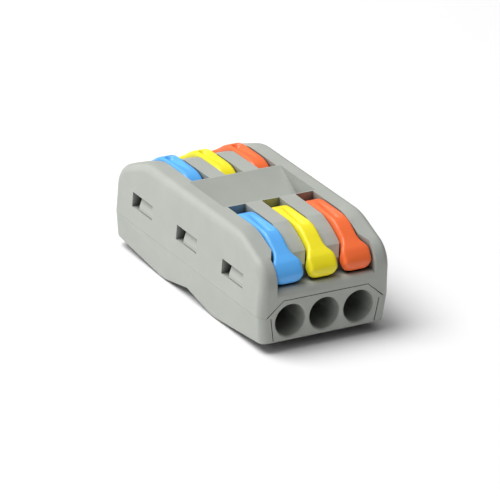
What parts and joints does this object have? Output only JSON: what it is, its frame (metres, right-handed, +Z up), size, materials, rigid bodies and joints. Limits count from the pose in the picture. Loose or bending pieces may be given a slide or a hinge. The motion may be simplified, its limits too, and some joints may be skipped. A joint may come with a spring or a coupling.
{
  "type": "lever wire connector",
  "caption": "Double-ended lever connector that splices stripped wires: each pole has a busbar, a clamp spring and a hinged coloured lever at both ends of a grey snap-together housing.",
  "frame": {"origin": "under the middle of the housing, on the surface its two feet stand on", "axes": "+X across the poles, +Y along the wires towards the back entries, +Z up out of the lever side"},
  "size_m": [0.0198, 0.039, 0.0146],
  "materials": {
    "housing_grey": "moulded polycarbonate or polyamide, fine satin",
    "lever_blue": "moulded, satin",
    "lever_yellow": "moulded, satin",
    "lever_orange": "moulded, satin",
    "tinned_copper": "tin-plated copper strip",
    "spring_steel": "stainless spring strip, satin"
  },
  "bodies": {
    "housing": {"upper_housing": "housing_grey", "lower_housing": "housing_grey", "left_busbar": "tinned_copper", "front_left_spring": "spring_steel", "back_left_spring": "spring_steel", "centre_busbar": "tinned_copper", "front_centre_spring": "spring_steel", "back_centre_spring": "spring_steel", "right_busbar": "tinned_copper", "front_right_spring": "spring_steel", "back_right_spring": "spring_steel"},
    "front_left_lever": {"front_left_lever": "lever_blue"},
    "back_left_lever": {"back_left_lever": "lever_blue"},
    "front_centre_lever": {"front_centre_lever": "lever_yellow"},
    "back_centre_lever": {"back_centre_lever": "lever_yellow"},
    "front_right_lever": {"front_right_lever": "lever_orange"},
    "back_right_lever": {"back_right_lever": "lever_orange"}
  },
  "joints": [
    {"name": "front_left_lever_hinge", "type": "hinge", "parent": "housing", "child": "front_left_lever", "pos_m": [-0.00517, -0.008, 0.0115], "axis": [-1, 0, 0], "range_deg": [0, 90], "deforming": ["front_left_spring"]},
    {"name": "back_left_lever_hinge", "type": "hinge", "parent": "housing", "child": "back_left_lever", "pos_m": [-0.00517, 0.008, 0.0115], "axis": [1, 0, 0], "range_deg": [0, 90], "deforming": ["back_left_spring"]},
    {"name": "front_centre_lever_hinge", "type": "hinge", "parent": "housing", "child": "front_centre_lever", "pos_m": [0, -0.008, 0.0115], "axis": [-1, 0, 0], "range_deg": [0, 90], "deforming": ["front_centre_spring"]},
    {"name": "back_centre_lever_hinge", "type": "hinge", "parent": "housing", "child": "back_centre_lever", "pos_m": [0, 0.008, 0.0115], "axis": [1, 0, 0], "range_deg": [0, 90], "deforming": ["back_centre_spring"]},
    {"name": "front_right_lever_hinge", "type": "hinge", "parent": "housing", "child": "front_right_lever", "pos_m": [0.00517, -0.008, 0.0115], "axis": [-1, 0, 0], "range_deg": [0, 90], "deforming": ["front_right_spring"]},
    {"name": "back_right_lever_hinge", "type": "hinge", "parent": "housing", "child": "back_right_lever", "pos_m": [0.00517, 0.008, 0.0115], "axis": [1, 0, 0], "range_deg": [0, 90], "deforming": ["back_right_spring"]}
  ]
}
